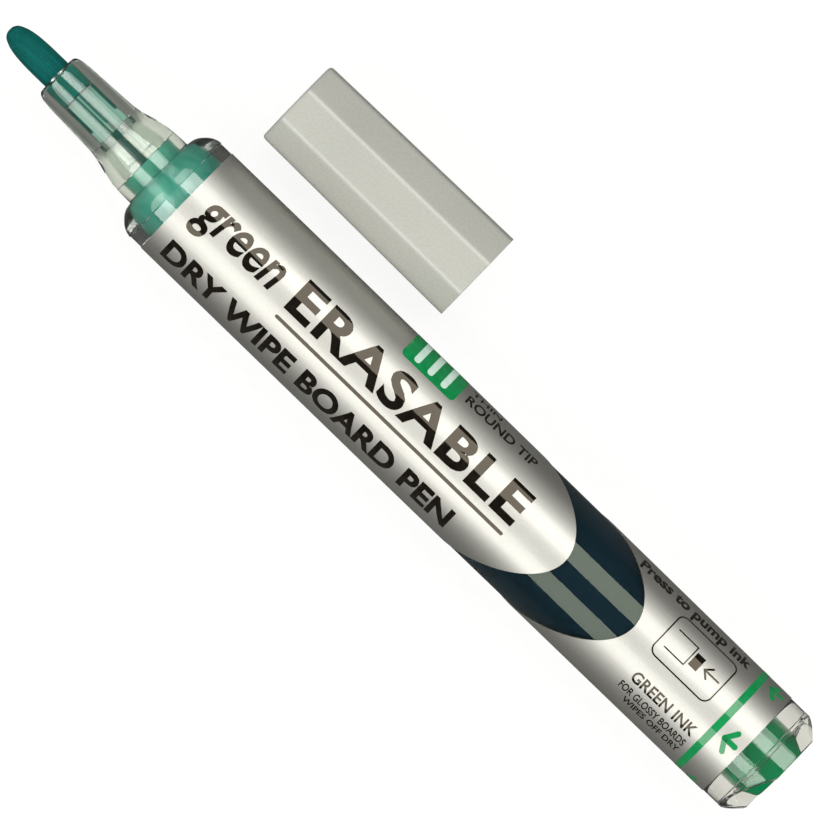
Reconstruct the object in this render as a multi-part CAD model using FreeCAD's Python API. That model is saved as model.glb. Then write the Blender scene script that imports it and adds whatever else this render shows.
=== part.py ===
import FreeCAD, Part
import math
import os

# Pump-action liquid-ink whiteboard marker with a bullet nib. The cap is off and lies beside the
# barrel. Millimetres.
# +X runs along the marker from the nib to the tail, +Z is up, and the cap lies on the +Y side.
# The origin is on the barrel's axis, half-way along the straight grip in front of the taper.
# Every "u" is a distance from the nib's point along the axis.

os.makedirs("parts", exist_ok=True)

# ---------------------------------------------------------------- driving dimensions
ORIGIN_U = 51.55          # the straight grip's middle, measured from the nib's point

NIB_R = 2.08              # 4.16 mm bullet nib stock
NIB_END_U = 12.1

NOSE_U = 8.3              # front lip of the clear nose
NOSE_BORE_R = 2.11
SHOULDER_U = 26.3         # where the nose meets the shoulder
HOUSING_SEAM_U = 29.3     # end face of the shoulder, against the barrel
SHOULDER_R = 8.30
SPIGOT_END_U = 36.0
SPIGOT_R = 7.26

BARREL_R = 8.20           # outside of the clear tube along the grip
BARREL_TAIL_R = 8.02      # outside of the clear tube at the tail (draft)
BARREL_BORE_R = 7.30
BARREL_END_U = 132.4
TAPER_U = 72.0            # the grip is a plain cylinder up to here

LABEL_U = (31.1, 130.2)
LABEL_T = 0.13            # film thickness
WINDOW_LENGTH = 12.1      # length of the ink window along the axis
WINDOW_MID_U = 85.0       # front edge of the window at the sides
WINDOW_SLANT = 12.15      # how far the front edge leans to the rear on the upper side
WINDOW_SKEW = 1.1         # and how much further forward it is on the -Y side
SEAM_STRIP_DEG = 50.0     # width of the closed strip of film along the underside

INK_U = (37.35, 109.3)

PUMP_TRAVEL = 2.0
BUTTON_R = 5.05
SLEEVE_BORE_R = 5.15
BUTTON_END_U = 135.7
SLEEVE_END_U = 135.6
SLEEVE_R = 8.05           # outside of the clear skirt
SKIRT_U = 133.05          # from here the skirt is a thin wall round the button
SKIRT_BORE_R = 7.15
BEVEL_TURN = 67.3         # direction of one bevel, in degrees from +Z towards -Y
BEVEL_ROOT_U = 132.5      # where the bevel meets the skirt's outside
BEVEL_SLOPE = 0.67
CHAMBER_R = 5.70
PUMP_U = (110.6, 124.0)

CAP_Y = 18.75             # the cap's axis beside the barrel's
CAP_LOWEST = 6.616        # from the cap's axis down to the ridge that it lies on
CAP_Z = CAP_LOWEST - (BARREL_R + LABEL_T)  # so that cap and barrel lie on the same table
CAP_U = (32.4, 64.3)      # closed end, open end
CAP_RIDGE_R = (6.62, 6.98)  # circumradius of the octagon at the closed and the open end
CAP_TURN_DEG = 4.15       # the octagon's turn about its own axis
CAP_EDGE_R = 0.45         # rounding of the long ridges
CAP_BORE_R = 5.26
CAP_WALL_END = 1.2
LINER_LENGTH = 21.0
LINER_BORE_R = 4.02

V = FreeCAD.Vector


def X(u):
    return u - ORIGIN_U


def revolve(points, y=0.0, z=0.0):
    """A solid of revolution about the line through (y, z) along X, from (u, r) points in order."""
    pts = [V(X(u), r, 0) for u, r in points]
    clean = [pts[0]]
    for p in pts[1:]:
        if p.distanceToPoint(clean[-1]) > 1e-6:
            clean.append(p)
    if clean[0].distanceToPoint(clean[-1]) > 1e-6:
        clean.append(clean[0])
    face = Part.Face(Part.makePolygon(clean))
    solid = face.revolve(V(0, 0, 0), V(1, 0, 0), 360)
    solid.translate(V(0, y, z))
    return solid if solid.ShapeType == "Solid" else Part.Solid(solid.Shells[0])


def smooth_revolve(outer, rest, y=0.0, z=0.0):
    """Like revolve, but the (u, r) points in outer are joined by one smooth curve."""
    pts = [V(X(u), r, 0) for u, r in outer]
    curve = Part.BSplineCurve()
    curve.interpolate(pts)
    tail = [pts[-1]] + [V(X(u), r, 0) for u, r in rest] + [pts[0]]
    edges = [curve.toShape()] + [
        Part.makeLine(a, b) for a, b in zip(tail, tail[1:]) if a.distanceToPoint(b) > 1e-6
    ]
    face = Part.Face(Part.Wire(edges))
    solid = face.revolve(V(0, 0, 0), V(1, 0, 0), 360)
    solid.translate(V(0, y, z))
    return solid if solid.ShapeType == "Solid" else Part.Solid(solid.Shells[0])


def cylinder(r, u0, u1, y=0.0, z=0.0):
    return Part.makeCylinder(r, u1 - u0, V(X(u0), y, z), V(1, 0, 0))


def cone(r0, r1, u0, u1, y=0.0, z=0.0):
    return Part.makeCone(r0, r1, u1 - u0, V(X(u0), y, z), V(1, 0, 0))


def export(shape, name):
    shape = shape.removeSplitter() if name not in ("pump_spring",) else shape
    if shape.ShapeType != "Solid" and len(shape.Solids) == 1:
        shape = shape.Solids[0]
    box = shape.BoundBox
    print(
        "%-18s valid %s solids %d volume %9.3f mm3  x %8.3f..%8.3f  r %.3f"
        % (name, shape.isValid(), len(shape.Solids), shape.Volume, box.XMin, box.XMax, box.ZMax)
    )
    assert shape.isValid() and shape.Volume > 0, name
    shape.exportStep("parts/%s.step" % name)
    return shape


# ---------------------------------------------------------------- nib
# Bullet point, plain shank, small chamfer at the end that meets the feeder.
nib = smooth_revolve(
    [
        (0.0, 0.30), (0.07, 0.55), (0.2, 0.80), (0.4, 1.06), (0.7, 1.27), (1.1, 1.46),
        (1.6, 1.65), (2.2, 1.80), (3.0, 1.93), (4.0, 2.02), (5.2, 2.07), (6.2, NIB_R),
    ],
    [(NIB_END_U - 0.3, NIB_R), (NIB_END_U, NIB_R - 0.3), (NIB_END_U, 0.0), (0.0, 0.0)],
)
export(nib, "nib")

# ---------------------------------------------------------------- front housing
# Clear nose with a rounded lip, a waist, the land that the cap grips, the rounded shoulder and
# the spigot that plugs into the barrel. Stepped bore for the nib, the feeder and the plug.
nose_lip = [(8.3, 2.62), (8.36, 2.92), (8.55, 3.17), (8.85, 3.34), (9.2, 3.45), (9.7, 3.53)]
nose_body = [
    (9.7, 3.53), (11.0, 3.65), (13.0, 3.75), (15.0, 3.82), (17.0, 3.89), (18.0, 3.95),
    (19.0, 4.10), (20.0, 4.33), (21.0, 4.62), (22.0, 4.87), (23.0, 5.03), (24.2, 5.11),
    (25.5, 5.17), (26.3, 5.19),
]
shoulder = [
    (26.3, 5.50), (26.45, 6.12), (26.7, 6.66), (27.1, 7.16), (27.6, 7.64), (28.1, 7.98),
    (28.6, 8.18), (29.0, 8.28), (HOUSING_SEAM_U, SHOULDER_R),
]
lip_edge, body_edge, shoulder_edge = [], [], []
for pts, out in ((nose_lip, lip_edge), (nose_body, body_edge), (shoulder, shoulder_edge)):
    c = Part.BSplineCurve()
    c.interpolate([V(X(u), r, 0) for u, r in pts])
    out.append(c.toShape())
bore = [
    (SPIGOT_END_U, SPIGOT_R), (SPIGOT_END_U, 6.35), (31.7, 6.35), (31.6, 4.20), (24.02, 4.20),
    (24.02, 3.45), (19.82, 3.45), (19.82, 2.92), (18.6, 2.92), (18.6, 2.46), (12.06, 2.46),
    (12.06, NOSE_BORE_R), (8.3, NOSE_BORE_R),
]
line_pts = (
    [V(X(HOUSING_SEAM_U), SHOULDER_R, 0), V(X(HOUSING_SEAM_U), SPIGOT_R, 0)]
    + [V(X(u), r, 0) for u, r in bore]
    + [V(X(8.3), 2.62, 0)]
)
edges = lip_edge + body_edge
edges.append(Part.makeLine(V(X(26.3), 5.19, 0), V(X(26.3), 5.50, 0)))
edges += shoulder_edge
edges += [Part.makeLine(a, b) for a, b in zip(line_pts, line_pts[1:])]
housing = Part.Face(Part.Wire(edges)).revolve(V(0, 0, 0), V(1, 0, 0), 360)
housing = housing if housing.ShapeType == "Solid" else Part.Solid(housing.Shells[0])
export(housing, "front_housing")

# ---------------------------------------------------------------- capillary feeder
# Four fins that touch the nose's bore, a flange, and a short tube to the plug.
fins = None
for k in range(2):
    fin = Part.makeBox(6.4, 4.84, 0.5, V(X(12.12), -2.42, -0.25))
    fin.rotate(V(0, 0, 0), V(1, 0, 0), 90 * k)
    fins = fin if fins is None else fins.fuse(fin)
core = cylinder(0.75, 12.12, 18.64)
flange = cylinder(2.88, 18.64, 19.78)
stem = cylinder(1.95, 19.78, 23.1).fuse(cylinder(2.3, 23.1, 23.98))
feeder = fins.fuse([core, flange, stem]).cut(cylinder(0.35, 12.0, 24.1))
for k in range(4):  # a notch in the flange beside each fin lets ink pass
    notch = Part.makeBox(2.0, 1.4, 0.7, V(X(18.2), 1.7, -0.35))
    notch.rotate(V(0, 0, 0), V(1, 0, 0), 45 + 90 * k)
    feeder = feeder.cut(notch)
export(feeder, "capillary_feeder")

# ---------------------------------------------------------------- metering plug and its valve
# Closes the front of the tank. A pocket in front holds the wad, a cavity behind holds the valve.
plug = revolve(
    [
        (24.06, 2.62), (24.06, 4.12), (31.68, 4.12), (31.78, 6.27), (36.04, 6.27), (36.04, 7.24),
        (37.25, 7.24), (37.25, 3.55), (31.0, 3.55), (31.0, 0.9), (29.2, 0.9), (29.2, 2.62),
    ]
)
export(plug, "metering_plug")

wad = revolve([(24.02, 0.0), (24.02, 2.58), (29.15, 2.58), (29.15, 0.0)])
export(wad, "buffer_wad")

# Duckbill: a round foot and a wedge-shaped bill that points towards the nib, slit at its end.
foot = cylinder(3.5, 34.6, 35.7)
bill = cylinder(2.3, 31.6, 34.62)
for side in (1, -1):
    cutter = Part.makeBox(8, 8, 6, V(X(31.6), -4, 0.35))
    cutter.rotate(V(X(31.6), 0, 0.35), V(0, 1, 0), -30)
    if side < 0:
        cutter = cutter.mirror(V(0, 0, 0), V(0, 0, 1))
    bill = bill.cut(cutter)
valve = foot.fuse(bill)
valve = valve.cut(cone(0.1, 1.6, 32.4, 35.8)).cut(Part.makeBox(1.6, 2.6, 0.06, V(X(31.5), -1.3, -0.03)))
export(valve, "slit_valve")

retainer = revolve([(35.74, 1.7), (35.74, 3.52), (37.2, 3.52), (37.2, 1.7)])
export(retainer, "valve_retainer")

# ---------------------------------------------------------------- barrel tube, ink and label
tube = revolve(
    [
        (HOUSING_SEAM_U + 0.02, BARREL_BORE_R), (HOUSING_SEAM_U + 0.02, BARREL_R),
        (TAPER_U, BARREL_R), (BARREL_END_U, BARREL_TAIL_R), (BARREL_END_U, BARREL_BORE_R),
    ]
)
export(tube, "barrel_tube")

ink = cylinder(BARREL_BORE_R - 0.03, *INK_U)
export(ink, "ink_fill")


def tube_r(u):
    """Outside radius of the clear tube at u."""
    if u <= TAPER_U:
        return BARREL_R
    return BARREL_R + (BARREL_TAIL_R - BARREL_R) * (u - TAPER_U) / (BARREL_END_U - TAPER_U)


gap = 0.005
label = revolve(
    [
        (LABEL_U[0], tube_r(LABEL_U[0]) + gap), (LABEL_U[0], tube_r(LABEL_U[0]) + LABEL_T),
        (TAPER_U, BARREL_R + LABEL_T), (LABEL_U[1], tube_r(LABEL_U[1]) + LABEL_T),
        (LABEL_U[1], tube_r(LABEL_U[1]) + gap), (TAPER_U, BARREL_R + gap),
    ]
)
# The window lies between two parallel slanted planes: u = mid + slant * z / r - skew * (-y) / r
sy, sz = WINDOW_SKEW / 8.3, WINDOW_SLANT / 8.3


def plane_u(y, z):
    return WINDOW_MID_U + sz * z + sy * y


w = 9.0
corners = [(-w, -w), (w, -w), (w, w), (-w, w)]
front = [V(X(plane_u(y, z)), y, z) for y, z in corners]
back = [p + V(WINDOW_LENGTH, 0, 0) for p in front]
faces = [Part.Face(Part.makePolygon(front + front[:1])), Part.Face(Part.makePolygon(back + back[:1]))]
for i in range(4):
    j = (i + 1) % 4
    faces.append(Part.Face(Part.makePolygon([front[i], front[j], back[j], back[i], front[i]])))
slab = Part.Solid(Part.Shell(faces))
if slab.Volume < 0:
    slab.reverse()
half = math.radians(SEAM_STRIP_DEG / 2)
strip = Part.Face(
    Part.makePolygon(
        [
            V(-60, 0, 0), V(-60, -14 * math.sin(half), -14 * math.cos(half)),
            V(-60, 14 * math.sin(half), -14 * math.cos(half)), V(-60, 0, 0),
        ]
    )
).extrude(V(130, 0, 0))
window = slab.cut(strip)
label = label.cut(window)
export(label, "label_film")

# ---------------------------------------------------------------- pump
# Cup with a thick front wall, an O-ring groove, a valve seat and four air holes.
housing_pump = revolve(
    [
        (PUMP_U[0], 0.0), (PUMP_U[0], 7.22), (111.75, 7.22), (111.75, 6.02), (113.45, 6.02),
        (113.45, 7.22), (PUMP_U[1], 7.22), (PUMP_U[1], CHAMBER_R), (114.6, CHAMBER_R), (114.6, 0.0),
    ]
)
housing_pump = housing_pump.cut(cylinder(0.95, 110.0, 115.0))
for k in range(4):
    a = math.radians(45 + 90 * k)
    housing_pump = housing_pump.cut(cylinder(0.5, 110.0, 115.0, 2.3 * math.cos(a), 2.3 * math.sin(a)))
export(housing_pump, "pump_housing")

ring = Part.makeTorus(6.66, 0.62, V(X(112.6), 0, 0), V(1, 0, 0))
export(ring, "pump_o_ring")

check = revolve(
    [
        (109.95, 0.0), (109.97, 1.5), (110.12, 2.6), (110.38, 3.2), (110.55, 3.2), (110.55, 0.9),
        (114.66, 0.9), (114.66, 1.3), (115.0, 1.3), (115.5, 0.8), (115.7, 0.0),
    ]
)
export(check, "check_valve")

piston = revolve(
    [
        (119.6, 0.0), (119.6, 5.3), (120.3, 5.3), (120.3, 4.3), (122.0, 4.3), (122.0, 5.3),
        (122.7, 5.3), (122.7, 2.5), (129.6, 2.5), (130.0, 2.1), (130.0, 0.0),
    ]
)
export(piston, "pump_piston")

cup = revolve(
    [(120.36, 4.34), (120.36, 5.2), (120.5, 5.6), (120.75, 5.66), (121.6, 5.5), (121.94, 5.2), (121.94, 4.34)]
)
export(cup, "piston_cup")

spring_r, wire_r = 4.0, 0.32
u0, u1 = 114.62 + wire_r, 119.58 - wire_r
helix = Part.makeHelix((u1 - u0) / 4.0, u1 - u0, spring_r)
helix.Placement = FreeCAD.Placement(V(X(u0), 0, 0), FreeCAD.Rotation(V(0, 1, 0), 90))
start = helix.Edges[0].valueAt(helix.Edges[0].FirstParameter)
tangent = helix.Edges[0].tangentAt(helix.Edges[0].FirstParameter)
profile = Part.Wire([Part.makeCircle(wire_r, start, tangent)])
pipe = Part.Wire(helix.Edges).makePipeShell([profile], True, True)
spring = Part.Solid(pipe.Shells[0]) if pipe.ShapeType != "Solid" else pipe
export(spring, "pump_spring")

# Button: guide flange, body, coned end with a shallow crown, and the socket for the piston's stem.
button = revolve(
    [
        (124.9, 2.53), (124.9, 5.58), (126.35, 5.58), (126.35, BUTTON_R), (132.95, BUTTON_R),
        (133.15, BUTTON_R - 0.05), (135.35, 3.85), (135.55, 3.55), (135.62, 2.6), (135.68, 1.4),
        (BUTTON_END_U, 0.0), (130.1, 0.0), (130.1, 2.53),
    ]
)
export(button, "pump_button")

# ---------------------------------------------------------------- tail sleeve
# Spigot, seat for the button's flange, and a thin clear skirt that guards the button.
sleeve = revolve(
    [
        (132.42, SLEEVE_R - 0.03), (132.47, SLEEVE_R), (135.42, SLEEVE_R), (135.55, SLEEVE_R - 0.05),
        (SLEEVE_END_U, SLEEVE_R - 0.18), (SLEEVE_END_U, SKIRT_BORE_R + 0.1), (135.5, SKIRT_BORE_R),
        (SKIRT_U, SKIRT_BORE_R), (SKIRT_U, SLEEVE_BORE_R + 0.1), (SKIRT_U - 0.1, SLEEVE_BORE_R),
        (126.4, SLEEVE_BORE_R), (126.4, 5.72), (124.05, 5.72), (124.05, 7.24), (132.42, 7.24),
    ]
)
# Two opposite finger openings: planar bevels from the skirt's end to its root. On the plane, u grows by
# BEVEL_SLOPE for each mm towards the axis.
for turn in (BEVEL_TURN, BEVEL_TURN + 180):
    a = math.radians(turn)
    out = V(0, -math.sin(a), math.cos(a))
    n = (V(1, 0, 0) + out * BEVEL_SLOPE).normalize()
    at = V(X(BEVEL_ROOT_U), 0, 0) + out * SLEEVE_R
    blade = Part.makeBox(40, 40, 12, V(-20, -20, 0))
    blade.Placement = FreeCAD.Placement(at, FreeCAD.Rotation(V(0, 0, 1), n))
    sleeve = sleeve.cut(blade)
export(sleeve, "tail_sleeve")

# ---------------------------------------------------------------- cap
# Eight-sided shell, its ridges and closed end rounded, with a round bore.


def octagon(r, u, edge):
    pts = []
    for k in range(8):
        a = math.radians(22.5 + 45 * k + CAP_TURN_DEG)
        pts.append(V(X(u), -r * math.sin(a), r * math.cos(a)))
    segs = []
    corners8 = []
    for k in range(8):
        p, a, b = pts[k], pts[k - 1], pts[(k + 1) % 8]
        cut = edge * math.tan(math.radians(22.5))
        s, e = p + (a - p).normalize() * cut, p + (b - p).normalize() * cut
        inward = V(0, -p.y, -p.z).normalize()
        mid = p + inward * (edge / math.cos(math.radians(22.5)) - edge)
        corners8.append((s, mid, e))
    for k in range(8):
        s, m, e = corners8[k]
        segs.append(Part.Arc(s, m, e).toShape())
        nxt = corners8[(k + 1) % 8][0]
        segs.append(Part.makeLine(e, nxt))
    return Part.Wire(segs)


uc, uo = CAP_U
rc, ro = CAP_RIDGE_R
slope = (ro - rc) / (uo - uc)
crown = 0.55
rings = [
    octagon(rc - crown + 0.05, uc, 0.35),
    octagon(rc + slope * 0.16 - 0.27, uc + 0.16, 0.40),
    octagon(rc + slope * crown, uc + crown, CAP_EDGE_R),
    octagon(ro, uo, CAP_EDGE_R),
]
shell = Part.makeLoft(rings, True, True)
shell.translate(V(0, CAP_Y, CAP_Z))
bore_cap = revolve(
    [
        (uc + CAP_WALL_END, 0.0), (uc + CAP_WALL_END, CAP_BORE_R - 0.4),
        (uc + CAP_WALL_END + 0.4, CAP_BORE_R), (uo - 0.5, CAP_BORE_R), (uo + 0.1, CAP_BORE_R + 0.6),
        (uo + 0.1, 0.0),
    ],
    CAP_Y,
    CAP_Z,
)
shell = shell.cut(bore_cap)
export(shell, "cap_shell")

ls = uc + CAP_WALL_END + 0.03
liner = revolve(
    [
        (ls, 0.0), (ls, 4.8), (ls + 0.45, CAP_BORE_R - 0.04), (ls + LINER_LENGTH - 0.5, CAP_BORE_R - 0.04),
        (ls + LINER_LENGTH, CAP_BORE_R - 0.35), (ls + LINER_LENGTH, LINER_BORE_R + 0.45),
        (ls + LINER_LENGTH - 0.9, LINER_BORE_R), (ls + 1.2, LINER_BORE_R), (ls + 0.8, LINER_BORE_R - 0.4),
        (ls + 0.8, 0.0),
    ],
    CAP_Y,
    CAP_Z,
)
export(liner, "cap_inner_seal")
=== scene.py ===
import bpy
import bmesh
import math
import numpy as np
from mathutils import Matrix, Vector


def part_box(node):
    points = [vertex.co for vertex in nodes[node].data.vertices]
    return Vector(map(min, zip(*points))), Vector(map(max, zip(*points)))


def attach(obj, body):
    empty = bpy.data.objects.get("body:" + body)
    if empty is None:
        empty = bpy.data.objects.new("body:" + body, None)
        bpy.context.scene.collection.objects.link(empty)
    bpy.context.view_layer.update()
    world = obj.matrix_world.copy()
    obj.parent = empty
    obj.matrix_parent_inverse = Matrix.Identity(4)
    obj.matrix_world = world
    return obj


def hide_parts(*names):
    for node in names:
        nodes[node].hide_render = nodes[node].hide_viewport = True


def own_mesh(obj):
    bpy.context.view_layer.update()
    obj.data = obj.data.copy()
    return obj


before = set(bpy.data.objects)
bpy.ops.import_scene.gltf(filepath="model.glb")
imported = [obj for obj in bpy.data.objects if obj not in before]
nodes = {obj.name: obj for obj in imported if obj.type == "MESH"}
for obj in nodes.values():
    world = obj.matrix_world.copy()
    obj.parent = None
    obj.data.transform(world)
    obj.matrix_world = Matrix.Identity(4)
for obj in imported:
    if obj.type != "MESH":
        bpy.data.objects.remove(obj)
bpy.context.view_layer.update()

MM = 0.001
# u is a distance in mm from the nib's point along the marker's axis, as in the CAD source.
U0 = -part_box("nib")[0].x / MM
FLOOR_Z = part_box("label_film")[0].z
cap_lo, cap_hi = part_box("cap_shell")


def X(u):
    return (u - U0) * MM


# ------------------------------------------------------------------ mesh helpers
def make_object(name, verts, faces, material, body=None, sharp=30.0, slots=None, face_mats=None):
    me = bpy.data.meshes.new(name)
    me.from_pydata([tuple(v) for v in verts], [], [tuple(f) for f in faces])
    me.validate(clean_customdata=False)
    bm = bmesh.new()
    bm.from_mesh(me)
    bmesh.ops.recalc_face_normals(bm, faces=bm.faces)
    bm.to_mesh(me)
    bm.free()
    for m in slots or [material]:
        me.materials.append(m)
    if face_mats is not None:
        me.polygons.foreach_set("material_index", face_mats)
    me.shade_smooth()
    me.set_sharp_from_angle(angle=math.radians(sharp))
    me.update()
    ob = bpy.data.objects.new(name, me)
    bpy.context.scene.collection.objects.link(ob)
    if body:
        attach(ob, body)
    return ob


def curve_through(pts, per=5):
    """Points on a smooth curve through pts (centripetal Catmull-Rom)."""
    p = [np.array(q, float) for q in pts]
    p = [2 * p[0] - p[1]] + p + [2 * p[-1] - p[-2]]
    out = []
    for i in range(1, len(p) - 2):
        p0, p1, p2, p3 = p[i - 1], p[i], p[i + 1], p[i + 2]
        t0 = 0.0
        t1 = t0 + np.linalg.norm(p1 - p0) ** 0.5
        t2 = t1 + np.linalg.norm(p2 - p1) ** 0.5
        t3 = t2 + np.linalg.norm(p3 - p2) ** 0.5
        for k in range(per):
            t = t1 + (t2 - t1) * k / per
            a1 = (t1 - t) / (t1 - t0) * p0 + (t - t0) / (t1 - t0) * p1
            a2 = (t2 - t) / (t2 - t1) * p1 + (t - t1) / (t2 - t1) * p2
            a3 = (t3 - t) / (t3 - t2) * p2 + (t - t2) / (t3 - t2) * p3
            b1 = (t2 - t) / (t2 - t0) * a1 + (t - t0) / (t2 - t0) * a2
            b2 = (t3 - t) / (t3 - t1) * a2 + (t - t1) / (t3 - t1) * a3
            out.append(tuple((t2 - t) / (t2 - t1) * b1 + (t - t1) / (t2 - t1) * b2))
    out.append(tuple(pts[-1]))
    return out


def eased(pts, r=0.08, n=3, least=20.0):
    """A closed (u, r) outline with every corner sharper than `least` degrees rounded by about r mm."""
    out, k = [], len(pts)
    for i in range(k):
        a, b, c = (np.array(pts[j % k], float) for j in (i - 1, i, i + 1))
        d0, d1 = a - b, c - b
        l0, l1 = np.linalg.norm(d0), np.linalg.norm(d1)
        if l0 < 1e-6 or l1 < 1e-6:
            continue
        turn = math.degrees(math.pi - math.acos(max(-1, min(1, float(d0 @ d1) / l0 / l1))))
        if turn < least or b[1] < 1e-6:
            out.append(tuple(b))
            continue
        cut = min(r, 0.42 * l0, 0.42 * l1)
        s, e = b + d0 / l0 * cut, b + d1 / l1 * cut
        for j in range(n + 1):
            t = j / n
            out.append(tuple((1 - t) ** 2 * s + 2 * t * (1 - t) * b + t * t * e))
    return out


def lathe(name, outline, material, body, segs=176, y=0.0, z=0.0, sharp=30.0, turn=0.0):
    """A closed solid of revolution about the line through (y, z) along X, from a closed (u, r) outline in mm."""
    pts = [outline[0]]
    for p in outline[1:]:
        if math.hypot(p[0] - pts[-1][0], p[1] - pts[-1][1]) > 1e-5:
            pts.append(p)
    if math.hypot(pts[0][0] - pts[-1][0], pts[0][1] - pts[-1][1]) < 1e-5:
        pts.pop()
    verts, rows = [], []
    for u, r in pts:
        if r < 1e-6:
            rows.append([len(verts)] * segs)
            verts.append((X(u), y * MM, z * MM))
        else:
            row = []
            for k in range(segs):
                a = 2 * math.pi * k / segs + turn
                row.append(len(verts))
                verts.append((X(u), (y - r * math.sin(a)) * MM, (z + r * math.cos(a)) * MM))
            rows.append(row)
    faces = []
    for i in range(len(rows)):
        a, b = rows[i], rows[(i + 1) % len(rows)]
        flat_a, flat_b = a[0] == a[1], b[0] == b[1]
        if flat_a and flat_b:
            continue
        for k in range(segs):
            j = (k + 1) % segs
            if flat_a:
                faces.append((a[0], b[k], b[j]))
            elif flat_b:
                faces.append((a[k], b[0], a[j]))
            else:
                faces.append((a[k], b[k], b[j], a[j]))
    return make_object(name, verts, faces, material, body, sharp)


def extrude_outline(loop, u0, u1):
    """Vertices and faces of a prism along X from a (y, z) loop in mm."""
    n = len(loop)
    verts = [(X(u), y * MM, z * MM) for u in (u0, u1) for y, z in loop]
    faces = [tuple(range(n))[::-1], tuple(range(n, 2 * n))]
    faces += [(k, (k + 1) % n, n + (k + 1) % n, n + k) for k in range(n)]
    return verts, faces


def merged(parts):
    verts, faces = [], []
    for v, f in parts:
        base = len(verts)
        verts += v
        faces += [tuple(i + base for i in face) for face in f]
    return verts, faces


def shell(verts, faces, inward):
    """A closed thin shell from an open sheet: the sheet, its copy moved by inward(vertex), and its rim."""
    n = len(verts)
    count = {}
    for f in faces:
        for a, b in zip(f, f[1:] + f[:1]):
            count[(a, b)] = count.get((a, b), 0) + 1
    out = [tuple(f) for f in faces] + [tuple(i + n for i in f[::-1]) for f in faces]
    for a, b in count:
        if (b, a) not in count:
            out.append((b, a, a + n, b + n))
    return list(verts) + [inward(v) for v in verts], out


# ------------------------------------------------------------------ node materials
def new_material(name):
    m = bpy.data.materials.new(name)
    m.use_nodes = True
    nt = m.node_tree
    nt.nodes.clear()
    out = nt.nodes.new("ShaderNodeOutputMaterial")
    p = nt.nodes.new("ShaderNodeBsdfPrincipled")
    nt.links.new(p.outputs[0], out.inputs[0])
    return m, nt, p


def coords(nt, scale=(1, 1, 1)):
    tc = nt.nodes.new("ShaderNodeTexCoord")
    mp = nt.nodes.new("ShaderNodeMapping")
    mp.inputs["Scale"].default_value = scale
    nt.links.new(tc.outputs["Object"], mp.inputs["Vector"])
    return mp.outputs[0]


def noise(nt, vec, scale, detail=3.0, rough=0.55, distort=0.0):
    n = nt.nodes.new("ShaderNodeTexNoise")
    n.inputs["Scale"].default_value = scale
    n.inputs["Detail"].default_value = detail
    n.inputs["Roughness"].default_value = rough
    n.inputs["Distortion"].default_value = distort
    nt.links.new(vec, n.inputs["Vector"])
    return n.outputs["Fac"]


def ramp(nt, fac, stops):
    r = nt.nodes.new("ShaderNodeValToRGB")
    e = r.color_ramp.elements
    while len(e) < len(stops):
        e.new(0.5)
    for k, (pos, col) in enumerate(stops):
        e[k].position = pos
        e[k].color = (*col, 1) if len(col) == 3 else col
    nt.links.new(fac, r.inputs[0])
    return r.outputs[0]


def span(nt, fac, lo, hi, a=0.0, b=1.0):
    r = nt.nodes.new("ShaderNodeMapRange")
    r.inputs["From Min"].default_value = a
    r.inputs["From Max"].default_value = b
    r.inputs["To Min"].default_value = lo
    r.inputs["To Max"].default_value = hi
    nt.links.new(fac, r.inputs[0])
    return r.outputs[0]


def bump(nt, p, height, strength, distance):
    b = nt.nodes.new("ShaderNodeBump")
    b.inputs["Strength"].default_value = strength
    b.inputs["Distance"].default_value = distance
    nt.links.new(height, b.inputs["Height"])
    nt.links.new(b.outputs[0], p.inputs["Normal"])
    return b


def mul(nt, a, b, kind="MULTIPLY"):
    n = nt.nodes.new("ShaderNodeMath")
    n.operation = kind
    for i, s in enumerate((a, b)):
        if isinstance(s, (int, float)):
            n.inputs[i].default_value = s
        else:
            nt.links.new(s, n.inputs[i])
    return n.outputs[0]


def moulded(name, dark, light, rough=(0.3, 0.42), grain=2600.0, depth=0.00001, strength=0.25, ior=1.5, coat=0.0, swirl=70.0):
    """Opaque moulded plastic or rubber: soft colour variation, satin grain and flow marks."""
    m, nt, p = new_material(name)
    v = coords(nt)
    big = noise(nt, v, swirl, 2.0, 0.5, 0.6)
    fine = noise(nt, v, grain, 3.0, 0.6)
    nt.links.new(ramp(nt, big, [(0.3, dark), (0.7, light)]), p.inputs["Base Color"])
    nt.links.new(span(nt, fine, rough[0], rough[1], 0.3, 0.7), p.inputs["Roughness"])
    p.inputs["IOR"].default_value = ior
    if coat:
        p.inputs["Coat Weight"].default_value = coat
        p.inputs["Coat Roughness"].default_value = 0.04
    bump(nt, p, fine, strength, depth)
    return m


def clear(name, tint_a, tint_b, ior=1.5, rough=(0.0, 0.02)):
    """Clear polished moulded plastic with faint flow lines."""
    m, nt, p = new_material(name)
    v = coords(nt, (0.25, 1, 1))
    flow = noise(nt, v, 420.0, 2.0, 0.5, 0.5)
    nt.links.new(ramp(nt, flow, [(0.35, tint_a), (0.65, tint_b)]), p.inputs["Base Color"])
    nt.links.new(span(nt, flow, rough[0], rough[1], 0.3, 0.7), p.inputs["Roughness"])
    p.inputs["Transmission Weight"].default_value = 1.0
    p.inputs["IOR"].default_value = ior
    bump(nt, p, flow, 0.03, 0.000003)
    return m


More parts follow.
